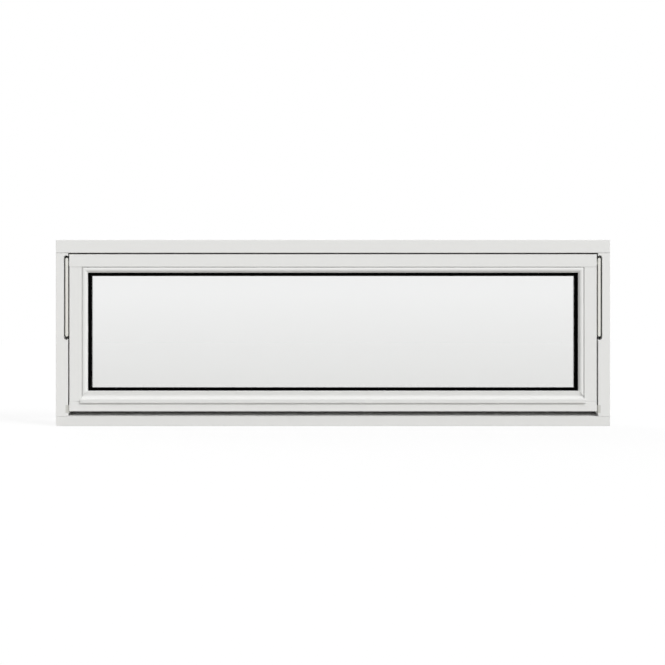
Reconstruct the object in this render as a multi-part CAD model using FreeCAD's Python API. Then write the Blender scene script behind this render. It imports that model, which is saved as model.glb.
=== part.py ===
import FreeCAD, Part
import math
import os

# Top hung awning window, closed. All sizes in millimetres.
# X runs to the right seen from outside, the outside faces -Y, Z is up.
# The origin lies under the sill, in the middle of the frame's width and depth.

# Outer frame
FRAME_WIDTH = 1488.0
FRAME_HEIGHT = 500.0
FRAME_DEPTH = 115.0
HEAD_FACE = 34.7
JAMB_FACE = 32.2
SILL_FACE = 25.8
SILL_RISE = 10.5
SILL_CANT = 2.2
LIP_REACH = 50.0
FRAME_ARRIS = 0.9
LIP_ARRIS = 2.5
FRAME_JOINT_WIDTH = 0.9
FRAME_JOINT_DEPTH = 3.0
LINING_GROOVE_WIDTH = 12.0
LINING_GROOVE_DEPTH = 8.0
LINING_GROOVE_FROM_BACK = 12.5
DRIP_GROOVE_WIDTH = 6.0
DRIP_GROOVE_DEPTH = 4.0
DRIP_GROOVE_FROM_FRONT = 12.0

# Sash
SIDE_GAP = 3.8
TOP_GAP = 4.0
BOTTOM_GAP = 3.2
SASH_DEPTH = 58.0
SEAL_GAP = 4.0
SEAL_WIDTH = 7.0
SEAL_ROUND = 1.8
SEAL_STEM_WIDTH = 3.0
SEAL_STEM_DEPTH = 5.0
SEAL_GROOVE_CLEARANCE = 0.2
STILE_FACE = 33.5
TOP_RAIL_FACE = 33.9
BOTTOM_RAIL_FACE = 26.5
SASH_ARRIS = 1.5
JOINT_ARRIS = 0.8
SASH_JOINT_WIDTH = 0.5
SASH_JOINT_DEPTH = 2.0
UPSTAND_PAST_BEAD = 2.5
UPSTAND_BEVEL = 6.0

# Glazing
BEAD_WIDTH = 14.9
BEAD_DEPTH = 12.0
QUIRK_WIDTH = 1.1
QUIRK_FLOOR = 8.0
BEAD_EDGE = 2.0
BEAD_EDGE_ARRIS = 0.4
BEAD_CROWN = 0.5
BEAD_CROWN_IN = 4.4
BEAD_CROWN_ROUND = 5.5
BEAD_KNEE = 0.6
BEAD_KNEE_IN = 9.6
BEAD_KNEE_ROUND = 5.5
BEAD_FLANK = 6.4
BEAD_FLANK_ARRIS = 0.6
BEAD_CLEARANCE = 0.2
GASKET_THICKNESS = 3.0
GASKET_PAST_BEAD = 2.5
PANE_THICKNESS = 4.0
CAVITY = 16.0
TAPE_THICKNESS = 2.0
TAPE_PAST_UPSTAND = 1.2
GLASS_COVER = 7.0
GLASS_CLEARANCE = 7.5
SPACER_PAST_BEAD = 8.4

# Bottom glazing bead with its drip nose
BOTTOM_BEAD_HEIGHT = 28.7
LEDGE_RISE = 3.0
NOSE_PROUD = 6.2
NOSE_TOP = 7.0
NOSE_LAP = 4.2
NOSE_CANT = 1.0
NOSE_UNDERCUT = 1.0
NOSE_ROUND = 2.0
NOSE_DRIP_ARRIS = 1.0
NOSE_SIDE_LAP = 3.0
NOSE_CLEARANCE = 0.5
COVE_FOOT = 8.8
COVE_RADIUS = 8.5
BEAD_TOP_EDGE = 10.5
BEAD_TOP_ROUND = 1.0
BEAD_LEAN = 5.0
MITRE_CLEARANCE = 0.2

# Hinge in its routed pocket, one in each jamb
POCKET_WIDTH = 12.3
POCKET_PAST_JAMB = 1.2
POCKET_BELOW_HEAD = 6.8
POCKET_DEPTH = 42.0
ARM_WIDTH = 7.1
ARM_LENGTH = 211.4
ARM_TOP_CLEARANCE = 6.5
ARM_FOOT_CLEARANCE = 9.0
ARM_ARRIS = 0.6
ARM_RECESS = 2.0
ARM_DEPTH = 22.0
PIVOT_RADIUS = 5.0
PIVOT_FROM_END = 14.0
TRACK_RECESS = 8.0
TRACK_DEPTH = 20.0
TRACK_END_GAP = 9.0
TRACK_CLEARANCE = 0.5
TRACK_GROOVE_WIDTH = 8.0
TRACK_GROOVE_DEPTH = 2.0

# Guide block let into each jamb at the lower corner
BLOCK_INSET = 6.2
BLOCK_HEIGHT = 21.5
BLOCK_ABOVE_SILL_FACE = 9.5
BLOCK_DEPTH = 18.0
BLOCK_STEP = 3.0
BLOCK_CLEARANCE = 0.3
BLOCK_ARRIS = 0.8

# Fixing holes through each jamb, behind the hinge pocket
FIXING_RADIUS = 4.0
FIXING_HEAD_RADIUS = 7.5
FIXING_HEAD_DEPTH = 8.0
FIXING_SPACING = 280.0

# Handle on the inside of the bottom rail
HANDLE_BASE_LENGTH = 68.0
HANDLE_BASE_HEIGHT = 27.0
HANDLE_BASE_DEPTH = 9.0
HANDLE_BASE_BEVEL = 2.5
HANDLE_NECK_RADIUS = 9.0
HANDLE_NECK_LENGTH = 27.0
LEVER_LENGTH = 115.0
LEVER_HEIGHT = 20.0
LEVER_DEPTH = 11.0
LEVER_ROUND = 4.0

# How far a cutting shape runs past the surface it cuts, and the distance that counts as none
CUT_PAST = 1.0
TOUCHING = 1e-6

# Planes and edges that follow from the sizes above
FRONT = -FRAME_DEPTH / 2
BACK = FRAME_DEPTH / 2
STOP = FRONT + SASH_DEPTH + SEAL_GAP
SASH_BACK = FRONT + SASH_DEPTH
HALF_WIDTH = FRAME_WIDTH / 2
HEAD_UNDERSIDE = FRAME_HEIGHT - HEAD_FACE
SASH_HALF_WIDTH = HALF_WIDTH - JAMB_FACE - SIDE_GAP
SASH_TOP = HEAD_UNDERSIDE - TOP_GAP
SASH_BOTTOM = SILL_FACE + SILL_RISE + BOTTOM_GAP
SHOULDER_X = SASH_HALF_WIDTH - STILE_FACE
SHOULDER_TOP = SASH_TOP - TOP_RAIL_FACE
SHOULDER_BOTTOM = SASH_BOTTOM + BOTTOM_RAIL_FACE
BEAD_BACK = FRONT + BEAD_DEPTH
OUTER_GLASS = BEAD_BACK + GASKET_THICKNESS
CAVITY_FRONT = OUTER_GLASS + PANE_THICKNESS
CAVITY_BACK = CAVITY_FRONT + CAVITY
INNER_GLASS = CAVITY_BACK + PANE_THICKNESS
UPSTAND_FRONT = INNER_GLASS + TAPE_THICKNESS
SIGHT_X = SHOULDER_X - BEAD_WIDTH
SIGHT_TOP = SHOULDER_TOP - BEAD_WIDTH
SIGHT_BOTTOM = SHOULDER_BOTTOM + BOTTOM_BEAD_HEIGHT
GLASS_X = SIGHT_X + GLASS_COVER
GLASS_TOP = SIGHT_TOP + GLASS_COVER
GLASS_BOTTOM = SIGHT_BOTTOM - GLASS_COVER
GLAZING_FLOOR = GLASS_BOTTOM - GLASS_CLEARANCE
UPSTAND_X = SIGHT_X - UPSTAND_PAST_BEAD
UPSTAND_TOP = SIGHT_TOP - UPSTAND_PAST_BEAD
UPSTAND_BOTTOM = SIGHT_BOTTOM + UPSTAND_PAST_BEAD
POCKET_INNER_X = HALF_WIDTH - JAMB_FACE - POCKET_PAST_JAMB
POCKET_WALL_X = POCKET_INNER_X + POCKET_WIDTH
POCKET_TOP = HEAD_UNDERSIDE - POCKET_BELOW_HEAD
ARM_TOP = POCKET_TOP - ARM_TOP_CLEARANCE
ARM_BOTTOM = ARM_TOP - ARM_LENGTH
POCKET_BOTTOM = ARM_BOTTOM - ARM_FOOT_CLEARANCE
ARM_INNER_X = HALF_WIDTH - JAMB_FACE
ARM_OUTER_X = ARM_INNER_X + ARM_WIDTH
FIXING_Y = (FRONT + POCKET_DEPTH + STOP) / 2
SEAL_X = (SASH_HALF_WIDTH + HALF_WIDTH - LIP_REACH) / 2
SEAL_TOP = (SASH_TOP + FRAME_HEIGHT - LIP_REACH) / 2
SEAL_BOTTOM = (SASH_BOTTOM + LIP_REACH) / 2
HANDLE_Z = (LIP_REACH + UPSTAND_BOTTOM - UPSTAND_BEVEL) / 2


def vector(x, y, z):
    return FreeCAD.Vector(x, y, z)


def box(x_range, y_range, z_range):
    """Box between two corners given as ranges."""
    size = [high - low for low, high in (x_range, y_range, z_range)]
    corner = vector(x_range[0], y_range[0], z_range[0])
    return Part.makeBox(size[0], size[1], size[2], corner)


def rounded_corner(before, corner, after):
    """Start, middle and end of the arc that rounds one corner of an outline."""
    here = vector(corner[0], corner[1], 0)
    to_before = vector(before[0], before[1], 0).sub(here).normalize()
    to_after = vector(after[0], after[1], 0).sub(here).normalize()
    half_angle = to_before.getAngle(to_after) / 2
    reach = corner[2] / math.tan(half_angle)
    inward = to_before.add(to_after).normalize()
    sagitta = corner[2] / math.sin(half_angle) - corner[2]
    start = here.add(to_before * reach)
    middle = here.add(inward * sagitta)
    end = here.add(to_after * reach)
    return start, middle, end


def outline_face(corners, place):
    """Flat face from corners (a, b, radius); place turns a, b into a point in space."""
    turns = []
    for index, corner in enumerate(corners):
        after = corners[(index + 1) % len(corners)]
        if corner[2] > 0:
            turns.append(rounded_corner(corners[index - 1], corner, after))
        else:
            here = vector(corner[0], corner[1], 0)
            turns.append((here, here, here))
    edges = []
    for index, (start, middle, end) in enumerate(turns):
        if corners[index][2] > 0:
            points = [place(point.x, point.y) for point in (start, middle, end)]
            edges.append(Part.Arc(*points).toShape())
        next_start = turns[(index + 1) % len(turns)][0]
        if end.distanceToPoint(next_start) > TOUCHING:
            edges.append(Part.makeLine(place(end.x, end.y), place(next_start.x, next_start.y)))
    return Part.Face(Part.Wire(edges))


def bar_along_x(corners, x_range):
    """Bar with its section given as (y, z, radius)."""
    face = outline_face(corners, lambda y, z: vector(x_range[0], y, z))
    return face.extrude(vector(x_range[1] - x_range[0], 0, 0))


def bar_along_z(corners, z_range):
    """Bar with its section given as (x, y, radius)."""
    face = outline_face(corners, lambda x, y: vector(x, y, z_range[0]))
    return face.extrude(vector(0, 0, z_range[1] - z_range[0]))


def bar_along_y(corners, y_range):
    """Bar with its section given as (x, z, radius)."""
    face = outline_face(corners, lambda x, z: vector(x, y_range[0], z))
    return face.extrude(vector(0, y_range[1] - y_range[0], 0))


def sharp(corners):
    """The same section with every corner square, to cut a member that butts against it."""
    return [(a, b, 0) for a, b, radius in corners]


def mirrored(shape):
    """Copy on the other side of the window's middle."""
    return shape.mirror(vector(0, 0, 0), vector(1, 0, 0))


def pill(x_range, z_range, y_range):
    """Upright bar with full round ends, seen from the front."""
    radius = (x_range[1] - x_range[0]) / 2
    low, high = z_range
    middle_x = (x_range[0] + x_range[1]) / 2
    body = box(x_range, y_range, (low + radius, high - radius))
    for centre_z in (low + radius, high - radius):
        centre = vector(middle_x, y_range[0], centre_z)
        end = Part.makeCylinder(radius, y_range[1] - y_range[0], centre, vector(0, 1, 0))
        body = body.fuse(end)
    return body.removeSplitter()


def edges_in_plane(shape, y_plane):
    """Edges of a shape that lie in one plane facing the front or the back."""
    edges = []
    for edge in shape.Edges:
        if all(abs(corner.Y - y_plane) < TOUCHING for corner in edge.Vertexes):
            edges.append(edge)
    return edges


def rounded_in_plane(shape, y_plane, radius):
    return shape.makeFillet(radius, edges_in_plane(shape, y_plane))


def joint_groove(z, upward, width, depth):
    """Wedge that eases the front of an upright on the right where it meets a level member."""
    wedge = [(FRONT, z, 0), (FRONT + depth, z, 0), (FRONT, z + upward * width, 0)]
    return bar_along_x(wedge, (0, HALF_WIDTH))


# Sections of the outer frame

def head_profile():
    """The head without its lining groove."""
    lip_edge = FRAME_HEIGHT - LIP_REACH
    return [
        (FRONT, FRAME_HEIGHT, FRAME_ARRIS),
        (FRONT, HEAD_UNDERSIDE, FRAME_ARRIS),
        (STOP, HEAD_UNDERSIDE, 0),
        (STOP, lip_edge, FRAME_ARRIS),
        (BACK, lip_edge, LIP_ARRIS),
        (BACK, FRAME_HEIGHT, FRAME_ARRIS),
    ]


def head_section():
    groove_back = BACK - LINING_GROOVE_FROM_BACK
    groove_front = groove_back - LINING_GROOVE_WIDTH
    groove_floor = FRAME_HEIGHT - LINING_GROOVE_DEPTH
    return head_profile() + [
        (groove_back, FRAME_HEIGHT, 0),
        (groove_back, groove_floor, 0),
        (groove_front, groove_floor, 0),
        (groove_front, FRAME_HEIGHT, 0),
    ]


def sill_profile():
    """The sill without its grooves."""
    return [
        (FRONT + SILL_CANT, 0, FRAME_ARRIS),
        (FRONT, SILL_FACE, FRAME_ARRIS),
        (STOP, SILL_FACE + SILL_RISE, 0),
        (STOP, LIP_REACH, FRAME_ARRIS),
        (BACK, LIP_REACH, LIP_ARRIS),
        (BACK, 0, FRAME_ARRIS),
    ]


def sill_section():
    lining_back = BACK - LINING_GROOVE_FROM_BACK
    lining_front = lining_back - LINING_GROOVE_WIDTH
    drip_front = FRONT + DRIP_GROOVE_FROM_FRONT
    drip_back = drip_front + DRIP_GROOVE_WIDTH
    return sill_profile() + [
        (lining_back, 0, 0),
        (lining_back, LINING_GROOVE_DEPTH, 0),
        (lining_front, LINING_GROOVE_DEPTH, 0),
        (lining_front, 0, 0),
        (drip_back, 0, 0),
        (drip_back, DRIP_GROOVE_DEPTH, 0),
        (drip_front, DRIP_GROOVE_DEPTH, 0),
        (drip_front, 0, 0),
    ]


def jamb_section():
    face_edge = HALF_WIDTH - JAMB_FACE
    lip_edge = HALF_WIDTH - LIP_REACH
    groove_back = BACK - LINING_GROOVE_FROM_BACK
    groove_front = groove_back - LINING_GROOVE_WIDTH
    groove_floor = HALF_WIDTH - LINING_GROOVE_DEPTH
    return [
        (HALF_WIDTH, FRONT, FRAME_ARRIS),
        (face_edge, FRONT, FRAME_ARRIS),
        (face_edge, STOP, 0),
        (lip_edge, STOP, FRAME_ARRIS),
        (lip_edge, BACK, LIP_ARRIS),
        (HALF_WIDTH, BACK, FRAME_ARRIS),
        (HALF_WIDTH, groove_back, 0),
        (groove_floor, groove_back, 0),
        (groove_floor, groove_front, 0),
        (HALF_WIDTH, groove_front, 0),
    ]


def full_width(section):
    return bar_along_x(section, (-HALF_WIDTH, HALF_WIDTH))


def with_eased_ends(member):
    """Round the upright front and back edges at both ends of a full width member."""
    plan = [
        (-HALF_WIDTH, FRONT, FRAME_ARRIS),
        (HALF_WIDTH, FRONT, FRAME_ARRIS),
        (HALF_WIDTH, BACK, FRAME_ARRIS),
        (-HALF_WIDTH, BACK, FRAME_ARRIS),
    ]
    return member.common(bar_along_z(plan, (0, FRAME_HEIGHT)))


def seal_grooves():
    """Groove in the frame's lip for the stem of the weather seal, all the way round."""
    half = SEAL_STEM_WIDTH / 2 + SEAL_GROOVE_CLEARANCE
    y_range = (STOP - CUT_PAST, STOP + SEAL_STEM_DEPTH + SEAL_GROOVE_CLEARANCE)
    reach = SEAL_X + SEAL_WIDTH / 2 + SEAL_GROOVE_CLEARANCE
    length = (-reach, reach)
    grooves = box(length, y_range, (SEAL_TOP - half, SEAL_TOP + half))
    grooves = grooves.fuse(box(length, y_range, (SEAL_BOTTOM - half, SEAL_BOTTOM + half)))
    right = box((SEAL_X - half, SEAL_X + half), y_range, (SEAL_BOTTOM, SEAL_TOP))
    return grooves.fuse(right).fuse(mirrored(right))


def frame_head():
    return with_eased_ends(full_width(head_section())).cut(seal_grooves())


def frame_sill():
    return with_eased_ends(full_width(sill_section())).cut(seal_grooves())


def fixing_hole(centre_z):
    """Screw hole through the jamb, counterbored from the sash side."""
    face_edge = HALF_WIDTH - JAMB_FACE
    centre = vector(face_edge, FIXING_Y, centre_z)
    outward = vector(1, 0, 0)
    shank = Part.makeCylinder(FIXING_RADIUS, JAMB_FACE, centre, outward)
    head = Part.makeCylinder(FIXING_HEAD_RADIUS, FIXING_HEAD_DEPTH, centre, outward)
    return shank.fuse(head)


def right_jamb():
    jamb = bar_along_z(jamb_section(), (0, FRAME_HEIGHT))
    under_sill = [(FRONT, 0, 0), (FRONT, SILL_FACE, 0)]
    jamb = jamb.cut(full_width(sharp(head_profile())))
    jamb = jamb.cut(full_width(under_sill + sharp(sill_profile()[2:])))
    jamb = jamb.cut(joint_groove(HEAD_UNDERSIDE, -1, FRAME_JOINT_WIDTH, FRAME_JOINT_DEPTH))
    jamb = jamb.cut(joint_groove(SILL_FACE, 1, FRAME_JOINT_WIDTH, FRAME_JOINT_DEPTH))
    pocket_y = (FRONT, FRONT + POCKET_DEPTH)
    jamb = jamb.cut(pill((POCKET_INNER_X, POCKET_WALL_X), (POCKET_BOTTOM, POCKET_TOP), pocket_y))
    jamb = jamb.cut(block_notch())
    jamb = jamb.cut(seal_grooves())
    for direction in (-1, 1):
        jamb = jamb.cut(fixing_hole(FRAME_HEIGHT / 2 + direction * FIXING_SPACING / 2))
    return jamb


# Sections of the sash

def upstand_corners(sight, outward):
    """Inner edge of a sash member: (depth, reach) corners from the glass to the room."""
    return [
        (UPSTAND_FRONT, sight, JOINT_ARRIS),
        (SASH_BACK - UPSTAND_BEVEL, sight, JOINT_ARRIS),
        (SASH_BACK, sight + outward * UPSTAND_BEVEL, JOINT_ARRIS),
    ]


def top_rail_section():
    return [
        (FRONT, SASH_TOP, SASH_ARRIS),
        (FRONT, SHOULDER_TOP, JOINT_ARRIS),
        (UPSTAND_FRONT, SHOULDER_TOP, 0),
    ] + upstand_corners(UPSTAND_TOP, 1) + [
        (SASH_BACK, SASH_TOP, SASH_ARRIS),
    ]


def bottom_rail_profile():
    """The bottom rail without its drip groove."""
    step_front = BEAD_BACK + BEAD_CLEARANCE
    return [
        (FRONT, SASH_BOTTOM, SASH_ARRIS),
        (FRONT, SHOULDER_BOTTOM, JOINT_ARRIS),
        (step_front, SHOULDER_BOTTOM + LEDGE_RISE, 0),
        (step_front, GLAZING_FLOOR, 0),
        (UPSTAND_FRONT, GLAZING_FLOOR, 0),
    ] + upstand_corners(UPSTAND_BOTTOM, -1) + [
        (SASH_BACK, SASH_BOTTOM, SASH_ARRIS),
    ]


def bottom_rail_section():
    drip_front = FRONT + DRIP_GROOVE_FROM_FRONT
    drip_back = drip_front + DRIP_GROOVE_WIDTH
    return bottom_rail_profile() + [
        (drip_back, SASH_BOTTOM, 0),
        (drip_back, SASH_BOTTOM + DRIP_GROOVE_DEPTH, 0),
        (drip_front, SASH_BOTTOM + DRIP_GROOVE_DEPTH, 0),
        (drip_front, SASH_BOTTOM, 0),
    ]


def stile_section():
    edge = [(x, y, radius) for y, x, radius in upstand_corners(UPSTAND_X, 1)]
    return [
        (SASH_HALF_WIDTH, FRONT, SASH_ARRIS),
        (SHOULDER_X, FRONT, JOINT_ARRIS),
        (SHOULDER_X, UPSTAND_FRONT, 0),
    ] + edge + [
        (SASH_HALF_WIDTH, SASH_BACK, SASH_ARRIS),
    ]


def sash_rail(section):
    return bar_along_x(section, (-SASH_HALF_WIDTH, SASH_HALF_WIDTH))


def right_stile():
    stile = bar_along_z(stile_section(), (SASH_BOTTOM, SASH_TOP))
    stile = stile.cut(sash_rail(sharp(top_rail_section())))
    stile = stile.cut(sash_rail(sharp(bottom_rail_profile())))
    stile = stile.cut(joint_groove(SHOULDER_TOP, -1, SASH_JOINT_WIDTH, SASH_JOINT_DEPTH))
    return stile.cut(joint_groove(SHOULDER_BOTTOM, 1, SASH_JOINT_WIDTH, SASH_JOINT_DEPTH))


# Glazing beads

def bead_section():
    """Moulded bead as (distance in from the shoulder, depth behind the sash face, radius)."""
    return [
        (BEAD_CLEARANCE, BEAD_DEPTH, 0),
        (BEAD_CLEARANCE, QUIRK_FLOOR, 0),
        (QUIRK_WIDTH, QUIRK_FLOOR, 0),
        (QUIRK_WIDTH, BEAD_EDGE, BEAD_EDGE_ARRIS),
        (BEAD_CROWN_IN, BEAD_CROWN, BEAD_CROWN_ROUND),
        (BEAD_KNEE_IN, BEAD_KNEE, BEAD_KNEE_ROUND),
        (BEAD_WIDTH, BEAD_DEPTH - BEAD_FLANK, BEAD_FLANK_ARRIS),
        (BEAD_WIDTH, BEAD_DEPTH, 0),
    ]


def top_bead():
    section = [(FRONT + depth, SHOULDER_TOP - inward, radius) for inward, depth, radius in bead_section()]
    length = bar_along_x(section, (-SHOULDER_X, SHOULDER_X))
    mitre = [
        (-SHOULDER_X, SHOULDER_TOP, 0),
        (SHOULDER_X, SHOULDER_TOP, 0),
        (SIGHT_X, SIGHT_TOP, 0),
        (-SIGHT_X, SIGHT_TOP, 0),
    ]
    return length.common(bar_along_y(mitre, (FRONT, BEAD_BACK)))


def right_bead():
    section = [(SHOULDER_X - inward, FRONT + depth, radius) for inward, depth, radius in bead_section()]
    length = bar_along_z(section, (SHOULDER_BOTTOM, SHOULDER_TOP))
    mitre = [
        (SHOULDER_X, SHOULDER_TOP, 0),
        (SHOULDER_X, SIGHT_BOTTOM - BEAD_WIDTH, 0),
        (SIGHT_X, SIGHT_BOTTOM, 0),
        (SIGHT_X, SIGHT_TOP, 0),
    ]
    return length.common(bar_along_y(mitre, (FRONT, BEAD_BACK)))


def bottom_bead_section():
    """Leaning face, cove and drip nose, as (y, z, radius)."""
    lip = BEAD_BACK - BEAD_TOP_EDGE
    nose_front = FRONT - NOSE_PROUD
    nose_back = FRONT - NOSE_CLEARANCE
    nose_bottom = SHOULDER_BOTTOM - NOSE_LAP
    underside = SHOULDER_BOTTOM + NOSE_CLEARANCE
    return [
        (BEAD_BACK, SIGHT_BOTTOM, 0),
        (lip, SIGHT_BOTTOM, BEAD_TOP_ROUND),
        (lip + BEAD_LEAN, SHOULDER_BOTTOM + COVE_FOOT, COVE_RADIUS),
        (nose_front, SHOULDER_BOTTOM + NOSE_TOP, NOSE_ROUND),
        (nose_front + NOSE_CANT, nose_bottom, NOSE_DRIP_ARRIS),
        (nose_back, nose_bottom + NOSE_UNDERCUT, 0),
        (nose_back, underside, 0),
        (BEAD_BACK, underside + LEDGE_RISE, 0),
    ]


def bottom_bead():
    """Bottom bead with its nose lapping the stiles and its upper corners mitred to the side beads."""
    nose_x = SHOULDER_X + NOSE_SIDE_LAP
    above = SIGHT_BOTTOM + CUT_PAST
    bead = bar_along_x(bottom_bead_section(), (-nose_x, nose_x))
    beside = (SHOULDER_X - BEAD_CLEARANCE, nose_x + CUT_PAST)
    behind = (FRONT - NOSE_CLEARANCE, BEAD_BACK + CUT_PAST)
    right_end = box(beside, behind, (SASH_BOTTOM, above))
    mitre = [
        (SIGHT_X - MITRE_CLEARANCE - CUT_PAST, above, 0),
        (SHOULDER_X - MITRE_CLEARANCE, SIGHT_BOTTOM - BEAD_WIDTH, 0),
        (SHOULDER_X + CUT_PAST, SIGHT_BOTTOM - BEAD_WIDTH, 0),
        (SHOULDER_X + CUT_PAST, above, 0),
    ]
    right_end = right_end.fuse(bar_along_y(mitre, behind))
    return bead.cut(right_end).cut(mirrored(right_end))


# Glass, spacer bars, gaskets, tapes and seals

def pane(front):
    return box((-GLASS_X, GLASS_X), (front, front + PANE_THICKNESS), (GLASS_BOTTOM, GLASS_TOP))


def strip_frame(outer, inner, y_range):
    """Four strips round an opening; outer and inner are (half width, bottom, top)."""
    outer_x, outer_bottom, outer_top = outer
    inner_x, inner_bottom, inner_top = inner
    right = box((inner_x, outer_x), y_range, (inner_bottom, inner_top))
    return {
        "top": box((-outer_x, outer_x), y_range, (inner_top, outer_top)),
        "bottom": box((-outer_x, outer_x), y_range, (outer_bottom, inner_bottom)),
        "left": mirrored(right),
        "right": right,
    }


def spacer_bars():
    inner = (SIGHT_X - SPACER_PAST_BEAD, SIGHT_BOTTOM + SPACER_PAST_BEAD, SIGHT_TOP - SPACER_PAST_BEAD)
    return strip_frame((GLASS_X, GLASS_BOTTOM, GLASS_TOP), inner, (CAVITY_FRONT, CAVITY_BACK))


def outer_gaskets():
    inner = (SIGHT_X - GASKET_PAST_BEAD, SIGHT_BOTTOM + GASKET_PAST_BEAD, SIGHT_TOP - GASKET_PAST_BEAD)
    return strip_frame((GLASS_X, GLASS_BOTTOM, GLASS_TOP), inner, (BEAD_BACK, OUTER_GLASS))


def inner_tapes():
    past = UPSTAND_PAST_BEAD + TAPE_PAST_UPSTAND
    inner = (SIGHT_X - past, SIGHT_BOTTOM + past, SIGHT_TOP - past)
    return strip_frame((GLASS_X, GLASS_BOTTOM, GLASS_TOP), inner, (INNER_GLASS, UPSTAND_FRONT))


def seal_section(middle):
    """Seal as (y, reach, radius): a stem in the frame's lip and a bulb against the sash."""
    half = SEAL_WIDTH / 2
    half_stem = SEAL_STEM_WIDTH / 2
    stem_end = STOP + SEAL_STEM_DEPTH
    return [
        (STOP, middle - half, 0),
        (STOP, middle - half_stem, 0),
        (stem_end, middle - half_stem, 0),
        (stem_end, middle + half_stem, 0),
        (STOP, middle + half_stem, 0),
        (STOP, middle + half, 0),
        (SASH_BACK, middle + half, SEAL_ROUND),
        (SASH_BACK, middle - half, SEAL_ROUND),
    ]


def weather_seals():
    """Seals in the middle of the lap between the sash and the frame's lip."""
    half = SEAL_WIDTH / 2
    length = (-SEAL_X - half, SEAL_X + half)
    side_section = [(x, y, radius) for y, x, radius in seal_section(SEAL_X)]
    right = bar_along_z(side_section, (SEAL_BOTTOM + half, SEAL_TOP - half))
    return {
        "top": bar_along_x(seal_section(SEAL_TOP), length),
        "bottom": bar_along_x(seal_section(SEAL_BOTTOM), length),
        "left": mirrored(right),
        "right": right,
    }


# Hinges and guide blocks

def right_hinge_track():
    """Grooved track on the pocket wall, with the pivot stud that the arm turns on."""
    inner = ARM_OUTER_X + TRACK_CLEARANCE
    y_front = FRONT + TRACK_RECESS
    y_range = (y_front, y_front + TRACK_DEPTH)
    z_range = (POCKET_BOTTOM + TRACK_END_GAP, POCKET_TOP - TRACK_END_GAP)
    track = box((inner, POCKET_WALL_X), y_range, z_range)
    middle_y = y_front + TRACK_DEPTH / 2
    groove_y = (middle_y - TRACK_GROOVE_WIDTH / 2, middle_y + TRACK_GROOVE_WIDTH / 2)
    pivot_z = ARM_BOTTOM + PIVOT_FROM_END
    groove_z = (pivot_z + 2 * PIVOT_RADIUS, z_range[1] + CUT_PAST)
    track = track.cut(box((inner - CUT_PAST, inner + TRACK_GROOVE_DEPTH), groove_y, groove_z))
    stud_foot = vector(ARM_OUTER_X, FRONT + ARM_RECESS + ARM_DEPTH / 2, pivot_z)
    stud_length = TRACK_CLEARANCE + TRACK_GROOVE_DEPTH / 2
    stud = Part.makeCylinder(PIVOT_RADIUS, stud_length, stud_foot, vector(1, 0, 0))
    return track.fuse(stud).removeSplitter()


def right_hinge_arm():
    """Arm with round ends and the pivot boss that carries the sash."""
    y_front = FRONT + ARM_RECESS
    y_range = (y_front, y_front + ARM_DEPTH)
    arm = pill((ARM_INNER_X, ARM_OUTER_X), (ARM_BOTTOM, ARM_TOP), y_range)
    arm = rounded_in_plane(arm, y_front, ARM_ARRIS)
    boss_foot = vector(SASH_HALF_WIDTH, y_front + ARM_DEPTH / 2, ARM_TOP - PIVOT_FROM_END)
    boss_length = ARM_INNER_X - SASH_HALF_WIDTH + ARM_WIDTH / 2
    boss = Part.makeCylinder(PIVOT_RADIUS, boss_length, boss_foot, vector(1, 0, 0))
    return arm.fuse(boss).removeSplitter()


def block_ranges():
    outer = HALF_WIDTH - JAMB_FACE + BLOCK_INSET
    bottom = SILL_FACE + BLOCK_ABOVE_SILL_FACE
    return outer, bottom, bottom + BLOCK_HEIGHT


def block_notch():
    outer, bottom, top = block_ranges()
    inner = HALF_WIDTH - JAMB_FACE - SIDE_GAP
    return box((inner, outer), (FRONT, FRONT + BLOCK_DEPTH), (bottom, top))


def right_guide_block():
    outer, bottom, top = block_ranges()
    face = [
        (SASH_HALF_WIDTH + BLOCK_CLEARANCE, bottom, BLOCK_ARRIS),
        (outer, bottom, BLOCK_ARRIS),
        (outer, top, BLOCK_ARRIS),
        (SASH_HALF_WIDTH + BLOCK_CLEARANCE, top, BLOCK_ARRIS),
    ]
    block = bar_along_y(face, (FRONT + BLOCK_CLEARANCE, FRONT + BLOCK_DEPTH))
    over_gap = (SASH_HALF_WIDTH, HALF_WIDTH - JAMB_FACE)
    return block.cut(box(over_gap, (FRONT, FRONT + BLOCK_STEP), (bottom - CUT_PAST, top + CUT_PAST)))


# Handle

def level_pill(x_range, height, y_range):
    """Level bar with full round ends at the height of the handle, seen from the back."""
    half = height / 2
    outline = [
        (x_range[0], HANDLE_Z - half, half),
        (x_range[1], HANDLE_Z - half, half),
        (x_range[1], HANDLE_Z + half, half),
        (x_range[0], HANDLE_Z + half, half),
    ]
    return bar_along_y(outline, y_range)


def handle_base():
    half_length = HANDLE_BASE_LENGTH / 2
    face = SASH_BACK + HANDLE_BASE_DEPTH
    plate = level_pill((-half_length, half_length), HANDLE_BASE_HEIGHT, (SASH_BACK, face))
    return plate.makeChamfer(HANDLE_BASE_BEVEL, edges_in_plane(plate, face))


def handle_lever():
    neck_foot = vector(0, SASH_BACK + HANDLE_BASE_DEPTH, HANDLE_Z)
    neck_length = HANDLE_NECK_LENGTH - LEVER_DEPTH / 2
    neck = Part.makeCylinder(HANDLE_NECK_RADIUS, neck_length, neck_foot, vector(0, 1, 0))
    lever_back = SASH_BACK + HANDLE_BASE_DEPTH + HANDLE_NECK_LENGTH
    lever_front = lever_back - LEVER_DEPTH
    length = (-LEVER_HEIGHT / 2, LEVER_LENGTH - LEVER_HEIGHT / 2)
    lever = level_pill(length, LEVER_HEIGHT, (lever_front, lever_back))
    for face in (lever_front, lever_back):
        lever = rounded_in_plane(lever, face, LEVER_ROUND)
    return neck.fuse(lever).removeSplitter()


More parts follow.
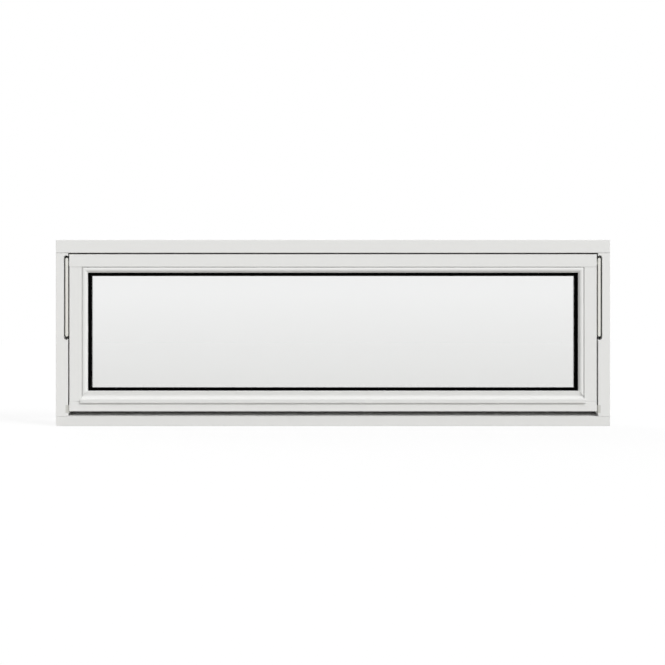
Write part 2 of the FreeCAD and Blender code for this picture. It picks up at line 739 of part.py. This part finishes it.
def window_parts():
    parts = {
        "frame_head": frame_head(),
        "frame_sill": frame_sill(),
        "sash_top_rail": sash_rail(top_rail_section()),
        "sash_bottom_rail": sash_rail(bottom_rail_section()),
        "top_glazing_bead": top_bead(),
        "bottom_glazing_bead": bottom_bead(),
        "outer_pane": pane(OUTER_GLASS),
        "inner_pane": pane(CAVITY_BACK),
        "handle_base": handle_base(),
        "handle_lever": handle_lever(),
    }
    handed = {
        "jamb": right_jamb(),
        "sash_stile": right_stile(),
        "glazing_bead": right_bead(),
        "hinge_track": right_hinge_track(),
        "hinge_arm": right_hinge_arm(),
        "guide_block": right_guide_block(),
    }
    for name, shape in handed.items():
        parts["right_" + name] = shape
        parts["left_" + name] = mirrored(shape)
    strips = {
        "spacer_bar": spacer_bars(),
        "outer_gasket": outer_gaskets(),
        "inner_tape": inner_tapes(),
        "weather_seal": weather_seals(),
    }
    for name, pieces in strips.items():
        for side, shape in pieces.items():
            parts[side + "_" + name] = shape
    return parts


os.makedirs("parts", exist_ok=True)
for part_name, part_shape in sorted(window_parts().items()):
    part_shape.exportStep(os.path.join("parts", part_name + ".step"))
    print(part_name, len(part_shape.Solids), part_shape.isValid(), round(part_shape.Volume))
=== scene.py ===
import math

import bmesh
import bpy
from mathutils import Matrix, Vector


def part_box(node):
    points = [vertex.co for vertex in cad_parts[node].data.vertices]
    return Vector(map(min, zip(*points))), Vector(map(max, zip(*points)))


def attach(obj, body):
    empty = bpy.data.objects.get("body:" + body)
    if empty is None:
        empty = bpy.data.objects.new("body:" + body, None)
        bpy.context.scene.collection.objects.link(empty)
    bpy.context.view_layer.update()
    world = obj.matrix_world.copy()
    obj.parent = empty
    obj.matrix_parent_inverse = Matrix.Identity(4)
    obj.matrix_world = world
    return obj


# Top hung awning window: finishes, small fasteners, studio light and camera.
# Lengths are in metres, colours are linear.

# Camera, straight in front of the window
CAMERA_AT = (-0.00134, -3.7765, 0.25134)
LENS_MM = 75.0
SENSOR_MM = 36.0

# Lamps: where each one's light comes from, its strength and the width of its disc
KEY_FROM = (0.56, -0.61, 0.56)
KEY_IRRADIANCE = 2.05
KEY_ANGLE_DEG = 24.0
FILL_FROM = (-0.45, 0.75, 0.25)
FILL_IRRADIANCE = 1.1
FILL_ANGLE_DEG = 50.0
LAMP_DISTANCE = 4.0

# Surroundings: what lights the window, what is seen behind it and what its gloss mirrors
PURE_WHITE = (1.0, 1.0, 1.0)
AMBIENT_STRENGTH = 0.660
WHITE_STRENGTH = 1.0
DIM_STRENGTH = 0.03
DIM_EDGE = 0.3
FLOOR_HALF = 30.0
FLOOR_BOUNCE = (0.54, 0.537, 0.517)
FLOOR_SHADE = (0.17, 0.17, 0.17)
FLOOR_GLOW = 0.812

# Colours
PAINT = (0.757, 0.757, 0.748)
PAINT_LIGHT = (0.770, 0.770, 0.761)
COATED_STEEL = (0.735, 0.730, 0.690)
COATED_STEEL_LIGHT = (0.752, 0.747, 0.708)
BLOCK_GREY = (0.560, 0.560, 0.530)
BLOCK_GREY_LIGHT = (0.585, 0.585, 0.556)
RUBBER = (0.0012, 0.0012, 0.0012)
RUBBER_LIGHT = (0.0022, 0.0022, 0.0021)
SPACER = (0.0010, 0.0010, 0.0010)
SPACER_LIGHT = (0.0018, 0.0018, 0.0016)
SEAL = (0.012, 0.012, 0.012)
SEAL_LIGHT = (0.018, 0.018, 0.018)
ZINC = (0.150, 0.150, 0.145)
ZINC_LIGHT = (0.220, 0.220, 0.210)
SATIN_METAL = (0.470, 0.470, 0.465)
SATIN_METAL_LIGHT = (0.530, 0.530, 0.525)

# Glass: the outer pane's colour is a painted reflection, lighter at the top and darker at the bottom,
# going from one colour to the other between two heights
PAINTED_REFLECTION_TOP = (0.916, 0.917, 0.916)
PAINTED_REFLECTION_BOTTOM = (0.808, 0.807, 0.799)
GLASS_PLAIN = (0.992, 0.996, 0.994)
GLASS_LETS_LAMPS_THROUGH = (0.9, 0.9, 0.9)
GLASS_IOR = 1.5
PAINTED_REFLECTION_STARTS_BELOW_TOP = 0.065
PAINTED_REFLECTION_FULL_ABOVE_BOTTOM = 0.020

# Paint: cycles a metre across and along the brush marks and the grain, and their relief
BRUSH_ACROSS = 620.0
BRUSH_ALONG = 9.0
BRUSH_DEPTH = 0.00010
BRUSH_STRENGTH = 0.5
GRAIN_ACROSS = 95.0
GRAIN_ALONG = 2.2
GRAIN_DEPTH = 0.00030
GRAIN_STRENGTH = 0.35
PAINT_MOTTLE = 6.0
PAINT_SPECULAR = 0.4
PAINT_SMOOTHEST = 0.36
PAINT_ROUGHEST = 0.46

# Other finishes: their mottle is coarser than their texture, and varies the roughness both ways
MOTTLE_COARSER = 8
ROUGHNESS_EITHER_WAY = 0.05
TEXTURE_STRENGTH = 0.5

# Noise: layers of detail, their roughness, and the levels that most of it lies between
FINE_NOISE = 2.0
MIDDLE_NOISE = 3.0
RICH_NOISE = 4.0
NOISE_ROUGHNESS = 0.55
GRAIN_NOISE_ROUGHNESS = 0.6
NOISE_LOW = 0.3
NOISE_HIGH = 0.7

# Handle screws: sizes, then shares of the head's radius, of its rise and of the recess's mouth
SCREW_RADIUS = 0.0038
SCREW_RISE = 0.0007
SCREW_FROM_MIDDLE = 0.0245
SCREW_SIDES = 32
RIM_OF_RADIUS = 0.86
CROSS_REACH_OF_RADIUS = 0.58
CROSS_HALF_WIDTH_OF_RADIUS = 0.15
SHOULDER_OF_RISE = 0.45
CROSS_DEPTH_OF_RISE = 0.9
CROSS_FLOOR_OF_MOUTH = 0.6

# Sockets of a mix node for colours, which has others with the same names
MIX_FACTOR = 0
MIX_FIRST_COLOUR = 6
MIX_SECOND_COLOUR = 7
MIX_RESULT_COLOUR = 2

# Timber members by the way they run, and the sides of the glass
X_AXIS = 0
Z_AXIS = 2
LEVEL_MEMBERS = [
    "frame_head",
    "frame_sill",
    "sash_top_rail",
    "sash_bottom_rail",
    "top_glazing_bead",
    "bottom_glazing_bead",
]
UPRIGHT_MEMBERS = [
    "left_jamb",
    "right_jamb",
    "left_sash_stile",
    "right_sash_stile",
    "left_glazing_bead",
    "right_glazing_bead",
]
SIDES = ("top", "bottom", "left", "right")

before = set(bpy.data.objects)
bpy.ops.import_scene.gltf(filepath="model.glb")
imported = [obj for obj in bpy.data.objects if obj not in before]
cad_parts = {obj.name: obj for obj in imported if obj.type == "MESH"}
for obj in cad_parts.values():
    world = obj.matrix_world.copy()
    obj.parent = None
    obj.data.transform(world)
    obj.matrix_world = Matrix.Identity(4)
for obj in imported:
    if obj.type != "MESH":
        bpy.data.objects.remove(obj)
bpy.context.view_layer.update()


# Object helpers

def add_object(name, data):
    """New object in the scene."""
    piece = bpy.data.objects.new(name, data)
    bpy.context.scene.collection.objects.link(piece)
    return piece


def point_z_along(piece, direction):
    """Turn an object so that its own Z axis points in a direction."""
    piece.rotation_mode = "QUATERNION"
    piece.rotation_quaternion = Vector(direction).to_track_quat("Z", "Y")


# Node helpers

def add_node(tree, kind, values=None, **settings):
    """New node with its settings and the values of its input sockets."""
    made = tree.nodes.new(kind)
    for name, value in settings.items():
        setattr(made, name, value)
    for name, value in (values or {}).items():
        made.inputs[name].default_value = value
    return made


def feed(tree, made, *sources):
    """Link sources to a node's first inputs, in order."""
    for source, socket in zip(sources, made.inputs):
        tree.links.new(source, socket)


def opaque(colour):
    """Colour with full alpha."""
    return (*colour, 1.0)


def new_material(name):
    """Empty node material, its tree and its output node."""
    material = bpy.data.materials.new(name)
    material.use_nodes = True
    tree = material.node_tree
    tree.nodes.clear()
    return material, tree, add_node(tree, "ShaderNodeOutputMaterial")


def noise(tree, detail, scale=1.0, roughness=NOISE_ROUGHNESS, stretch=None):
    """Noise in the object's own metres; stretch gives cycles a metre for each axis."""
    place = add_node(tree, "ShaderNodeTexCoord")
    made = add_node(tree, "ShaderNodeTexNoise", {"Scale": scale, "Detail": detail, "Roughness": roughness})
    source = place.outputs["Object"]
    if stretch:
        mapping = add_node(tree, "ShaderNodeMapping", {"Scale": stretch})
        tree.links.new(source, mapping.inputs["Vector"])
        source = mapping.outputs["Vector"]
    tree.links.new(source, made.inputs["Vector"])
    return made.outputs["Fac"]


def stretched(across, along, axis):
    """Cycles a metre for each axis, where one axis has its own."""
    cycles = [across] * 3
    cycles[axis] = along
    return cycles


def colour_between(tree, factor, low, high):
    """Colour that follows a factor from one colour to another."""
    mixed = add_node(tree, "ShaderNodeMix", data_type="RGBA")
    mixed.inputs[MIX_FIRST_COLOUR].default_value = opaque(low)
    mixed.inputs[MIX_SECOND_COLOUR].default_value = opaque(high)
    tree.links.new(factor, mixed.inputs[MIX_FACTOR])
    return mixed.outputs[MIX_RESULT_COLOUR]


def spread(tree, factor, low, high, from_low=NOISE_LOW, from_high=NOISE_HIGH):
    """Number that follows a factor from one value to another."""
    ranged = add_node(
        tree,
        "ShaderNodeMapRange",
        {"From Min": from_low, "From Max": from_high, "To Min": low, "To Max": high},
    )
    tree.links.new(factor, ranged.inputs["Value"])
    return ranged.outputs["Result"]


def relief(tree, height, depth, strength, below=None):
    """Bump of a real depth, on top of another one if given."""
    bump = add_node(tree, "ShaderNodeBump", {"Strength": strength, "Distance": depth})
    tree.links.new(height, bump.inputs["Height"])
    if below:
        tree.links.new(below, bump.inputs["Normal"])
    return bump.outputs["Normal"]


def mix_shaders(tree, factor, first, second):
    """First shader where the factor is 0, second where it is 1."""
    mixed = add_node(tree, "ShaderNodeMixShader")
    feed(tree, mixed, factor, first, second)
    return mixed.outputs["Shader"]


# Materials

def painted_timber(name, axis):
    """Satin paint on planed timber, with brush marks and faint grain along one axis."""
    material, tree, output = new_material(name)
    shader = add_node(tree, "ShaderNodeBsdfPrincipled", {"Specular IOR Level": PAINT_SPECULAR})
    brush = noise(tree, FINE_NOISE, stretch=stretched(BRUSH_ACROSS, BRUSH_ALONG, axis))
    grain = noise(
        tree,
        RICH_NOISE,
        roughness=GRAIN_NOISE_ROUGHNESS,
        stretch=stretched(GRAIN_ACROSS, GRAIN_ALONG, axis),
    )
    mottle = noise(tree, MIDDLE_NOISE, scale=PAINT_MOTTLE)
    tree.links.new(colour_between(tree, mottle, PAINT, PAINT_LIGHT), shader.inputs["Base Color"])
    tree.links.new(spread(tree, grain, PAINT_SMOOTHEST, PAINT_ROUGHEST), shader.inputs["Roughness"])
    grain_normal = relief(tree, grain, GRAIN_DEPTH, GRAIN_STRENGTH)
    brush_normal = relief(tree, brush, BRUSH_DEPTH, BRUSH_STRENGTH, grain_normal)
    tree.links.new(brush_normal, shader.inputs["Normal"])
    tree.links.new(shader.outputs["BSDF"], output.inputs["Surface"])
    return material


def plain_finish(name, low, high, roughness, specular, texture, depth, metallic=0.0):
    """Moulded, coated or plated finish: mottled colour, uneven gloss and a fine texture."""
    material, tree, output = new_material(name)
    shader = add_node(
        tree,
        "ShaderNodeBsdfPrincipled",
        {"Specular IOR Level": specular, "Metallic": metallic},
    )
    mottle = noise(tree, RICH_NOISE, scale=texture / MOTTLE_COARSER)
    grain = noise(tree, FINE_NOISE, scale=texture)
    smoothest = roughness - ROUGHNESS_EITHER_WAY
    roughest = roughness + ROUGHNESS_EITHER_WAY
    tree.links.new(colour_between(tree, mottle, low, high), shader.inputs["Base Color"])
    tree.links.new(spread(tree, mottle, smoothest, roughest), shader.inputs["Roughness"])
    tree.links.new(relief(tree, grain, depth, TEXTURE_STRENGTH), shader.inputs["Normal"])
    tree.links.new(shader.outputs["BSDF"], output.inputs["Surface"])
    return material


def clear_glass(name, low, high):
    """Float glass that lets lamps through; its colour goes from low at the bottom to high at the top, a
    painted reflection where the two differ.
    """
    material, tree, output = new_material(name)
    glass_low, glass_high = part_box("outer_pane")
    shader = add_node(
        tree,
        "ShaderNodeBsdfPrincipled",
        {"Transmission Weight": 1.0, "Roughness": 0.0, "IOR": GLASS_IOR},
    )
    place = add_node(tree, "ShaderNodeTexCoord")
    split = add_node(tree, "ShaderNodeSeparateXYZ")
    tree.links.new(place.outputs["Object"], split.inputs["Vector"])
    # Painted reflection: the pane's colour follows its height, darker towards the bottom.
    full_at = glass_low.z + PAINTED_REFLECTION_FULL_ABOVE_BOTTOM
    starts_at = glass_high.z - PAINTED_REFLECTION_STARTS_BELOW_TOP
    height = spread(tree, split.outputs["Z"], 0.0, 1.0, full_at, starts_at)
    tree.links.new(colour_between(tree, height, low, high), shader.inputs["Base Color"])
    passing = add_node(tree, "ShaderNodeBsdfTransparent", {"Color": opaque(GLASS_LETS_LAMPS_THROUGH)})
    path = add_node(tree, "ShaderNodeLightPath")
    surface = mix_shaders(
        tree,
        path.outputs["Is Shadow Ray"],
        shader.outputs["BSDF"],
        passing.outputs["BSDF"],
    )
    tree.links.new(surface, output.inputs["Surface"])
    return material


def dress(material, names):
    """Give a material to nodes of the frame."""
    for name in names:
        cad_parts[name].material_slots[0].material = material


# Paint and glass

dress(painted_timber("paint_level", X_AXIS), LEVEL_MEMBERS)
dress(painted_timber("paint_upright", Z_AXIS), UPRIGHT_MEMBERS)
# The outer pane's colour is a painted reflection, darker towards the bottom; the inner pane is plain.
dress(clear_glass("outer_glass", PAINTED_REFLECTION_BOTTOM, PAINTED_REFLECTION_TOP), ["outer_pane"])
dress(clear_glass("inner_glass", GLASS_PLAIN, GLASS_PLAIN), ["inner_pane"])

# Spacer, rubber, metal and moulded pieces; texture is in cycles a metre

spacer_black = plain_finish(
    "spacer_black", SPACER, SPACER_LIGHT,
    roughness=0.7, specular=0.0, texture=900.0, depth=0.00003,
)
gasket_black = plain_finish(
    "gasket_black", RUBBER, RUBBER_LIGHT,
    roughness=0.75, specular=0.0, texture=700.0, depth=0.00005,
)
seal_grey = plain_finish(
    "seal_grey", SEAL, SEAL_LIGHT,
    roughness=0.7, specular=0.2, texture=700.0, depth=0.00005,
)
coated_steel = plain_finish(
    "coated_steel", COATED_STEEL, COATED_STEEL_LIGHT,
    roughness=0.42, specular=0.4, texture=1200.0, depth=0.00003,
)
block_grey = plain_finish(
    "block_grey", BLOCK_GREY, BLOCK_GREY_LIGHT,
    roughness=0.5, specular=0.35, texture=1500.0, depth=0.00002,
)
zinc = plain_finish(
    "zinc", ZINC, ZINC_LIGHT,
    roughness=0.45, specular=0.5, texture=600.0, depth=0.00002, metallic=0.85,
)
satin_metal = plain_finish(
    "satin_metal", SATIN_METAL, SATIN_METAL_LIGHT,
    roughness=0.34, specular=0.5, texture=1500.0, depth=0.00001, metallic=1.0,
)

dress(spacer_black, [side + "_spacer_bar" for side in SIDES])
dress(gasket_black, [side + "_outer_gasket" for side in SIDES])
dress(gasket_black, [side + "_inner_tape" for side in SIDES])
dress(seal_grey, [side + "_weather_seal" for side in SIDES])
dress(coated_steel, ["left_hinge_arm", "right_hinge_arm"])
dress(zinc, ["left_hinge_track", "right_hinge_track"])
dress(block_grey, ["left_guide_block", "right_guide_block"])
dress(satin_metal, ["handle_base", "handle_lever"])


# Small fasteners

def ring(bm, points):
    """Closed loop of edges through points."""
    corners = [bm.verts.new(point) for point in points]
    edges = [bm.edges.new((a, b)) for a, b in zip(corners, corners[1:] + corners[:1])]
    return corners, edges


def bridge(bm, lower, upper):
    """Band of faces between two loops with as many corners."""
    for index, corner in enumerate(lower):
        following = (index + 1) % len(lower)
        bm.faces.new((corner, lower[following], upper[following], upper[index]))


def circle(radius, height):
    """Points of a level circle."""
    step = 2 * math.pi / SCREW_SIDES
    return [
        Vector((radius * math.cos(index * step), radius * math.sin(index * step), height))
        for index in range(SCREW_SIDES)
    ]


def cross(reach, half_width, height):
    """Outline of a level cross, twelve corners."""
    corners = []
    for quarter in range(4):
        turn = quarter * math.pi / 2
        for along, beside in ((reach, -half_width), (reach, half_width), (half_width, half_width)):
            x = along * math.cos(turn) - beside * math.sin(turn)
            y = along * math.sin(turn) + beside * math.cos(turn)
            corners.append(Vector((x, y, height)))
    return corners


def screw_head(name):
    """Mesh of a screw head that stands on the XY plane, with a bevelled rim and a cross recess."""
    reach = SCREW_RADIUS * CROSS_REACH_OF_RADIUS
    half_width = SCREW_RADIUS * CROSS_HALF_WIDTH_OF_RADIUS
    bm = bmesh.new()
    seat, _ = ring(bm, circle(SCREW_RADIUS, 0.0))
    shoulder, _ = ring(bm, circle(SCREW_RADIUS, SCREW_RISE * SHOULDER_OF_RISE))
    rim, rim_edges = ring(bm, circle(SCREW_RADIUS * RIM_OF_RADIUS, SCREW_RISE))
    bridge(bm, seat, shoulder)
    bridge(bm, shoulder, rim)
    bm.faces.new(list(reversed(seat)))
    mouth, mouth_edges = ring(bm, cross(reach, half_width, SCREW_RISE))
    recess_floor = cross(
        reach * CROSS_FLOOR_OF_MOUTH,
        half_width * CROSS_FLOOR_OF_MOUTH,
        SCREW_RISE - SCREW_RISE * CROSS_DEPTH_OF_RISE,
    )
    bottom, _ = ring(bm, recess_floor)
    bmesh.ops.triangle_fill(bm, use_beauty=True, edges=rim_edges + mouth_edges)
    bridge(bm, list(reversed(mouth)), list(reversed(bottom)))
    bm.faces.new(bottom)
    bmesh.ops.recalc_face_normals(bm, faces=bm.faces)
    mesh = bpy.data.meshes.new(name)
    bm.to_mesh(mesh)
    bm.free()
    return mesh


def handle_screws():
    """Two screws on the room side of the handle's base."""
    low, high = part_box("handle_base")
    middle_x = (low.x + high.x) / 2
    middle_z = (low.z + high.z) / 2
    for side, name in ((-1, "handle_screw_left"), (1, "handle_screw_right")):
        screw = add_object(name, screw_head(name))
        point_z_along(screw, (0, 1, 0))
        screw.location = (middle_x + side * SCREW_FROM_MIDDLE, high.y, middle_z)
        screw.data.materials.append(satin_metal)
        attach(screw, "root")


handle_screws()


# Studio

def either(tree, first, second):
    """One where a ray is of the first kind or of the second."""
    larger = add_node(tree, "ShaderNodeMath", operation="MAXIMUM")
    feed(tree, larger, first, second)
    return larger.outputs["Value"]


def by_ray(tree, seen, mirrored, lit):
    """One shader for what is seen, one for what gloss mirrors and one for what lights the window."""
    path = add_node(tree, "ShaderNodeLightPath")
    looked_at = either(tree, path.outputs["Is Camera Ray"], path.outputs["Is Transmission Ray"])
    lit_or_mirrored = mix_shaders(tree, path.outputs["Is Glossy Ray"], lit, mirrored)
    return mix_shaders(tree, looked_at, lit_or_mirrored, seen)


def mirrored_strength(tree, place):
    """Dim in front of the window and white behind it, by the Y of a place or a direction."""
    split = add_node(tree, "ShaderNodeSeparateXYZ")
    tree.links.new(place, split.inputs["Vector"])
    return spread(tree, split.outputs["Y"], DIM_STRENGTH, WHITE_STRENGTH, -DIM_EDGE, DIM_EDGE)


def studio_world():
    """White where seen, dim in front where mirrored, soft grey for what lights the window."""
    world = bpy.data.worlds.new("studio")
    bpy.context.scene.world = world
    world.use_nodes = True
    tree = world.node_tree
    tree.nodes.clear()
    output = add_node(tree, "ShaderNodeOutputWorld")
    white = opaque(PURE_WHITE)
    seen = add_node(tree, "ShaderNodeBackground", {"Color": white, "Strength": WHITE_STRENGTH})
    lit = add_node(tree, "ShaderNodeBackground", {"Color": white, "Strength": AMBIENT_STRENGTH})
    mirrored = add_node(tree, "ShaderNodeBackground", {"Color": white})
    direction = add_node(tree, "ShaderNodeTexCoord")
    tree.links.new(mirrored_strength(tree, direction.outputs["Generated"]), mirrored.inputs["Strength"])
    surface = by_ray(
        tree,
        seen.outputs["Background"],
        mirrored.outputs["Background"],
        lit.outputs["Background"],
    )
    tree.links.new(surface, output.inputs["Surface"])


def floor_finish():
    """Pale floor: white with a soft shadow where seen, dim in front where mirrored, matt elsewhere."""
    material, tree, output = new_material("studio_floor")
    white = opaque(PURE_WHITE)
    glow = add_node(tree, "ShaderNodeEmission", {"Color": white, "Strength": FLOOR_GLOW})
    shade = add_node(tree, "ShaderNodeBsdfDiffuse", {"Color": opaque(FLOOR_SHADE)})
    seen = add_node(tree, "ShaderNodeAddShader")
    feed(tree, seen, glow.outputs["Emission"], shade.outputs["BSDF"])
    bounce = add_node(tree, "ShaderNodeBsdfDiffuse", {"Color": opaque(FLOOR_BOUNCE)})
    mirrored = add_node(tree, "ShaderNodeEmission", {"Color": white})
    place = add_node(tree, "ShaderNodeNewGeometry")
    tree.links.new(mirrored_strength(tree, place.outputs["Position"]), mirrored.inputs["Strength"])
    surface = by_ray(
        tree,
        seen.outputs["Shader"],
        mirrored.outputs["Emission"],
        bounce.outputs["BSDF"],
    )
    tree.links.new(surface, output.inputs["Surface"])
    return material


def floor():
    """Wide square floor under the sill."""
    mesh = bpy.data.meshes.new("floor")
    reach = FLOOR_HALF
    corners = [(-reach, -reach, 0), (reach, -reach, 0), (reach, reach, 0), (-reach, reach, 0)]
    mesh.from_pydata(corners, [], [(0, 1, 2, 3)])
    mesh.materials.append(floor_finish())
    add_object("floor", mesh)


def soft_light(name, comes_from, irradiance, angle_deg, glare):
    """Wide sun lamp, whose disc does not show through the glass; glare says if gloss mirrors it."""
    lamp = bpy.data.lights.new(name, "SUN")
    lamp.energy = irradiance
    lamp.angle = math.radians(angle_deg)
    piece = add_object(name, lamp)
    point_z_along(piece, comes_from)
    piece.location = Vector(comes_from) * LAMP_DISTANCE
    piece.visible_transmission = False
    piece.visible_glossy = glare


def camera():
    """Camera that looks along +Y."""
    lens = bpy.data.cameras.new("camera")
    lens.lens = LENS_MM
    lens.sensor_width = SENSOR_MM
    piece = add_object("camera", lens)
    piece.location = CAMERA_AT
    piece.rotation_euler = (math.pi / 2, 0.0, 0.0)
    bpy.context.scene.camera = piece


studio_world()
floor()
soft_light("key", KEY_FROM, KEY_IRRADIANCE, KEY_ANGLE_DEG, glare=True)
soft_light("fill", FILL_FROM, FILL_IRRADIANCE, FILL_ANGLE_DEG, glare=False)
camera()
bpy.context.scene.view_settings.view_transform = "Standard"
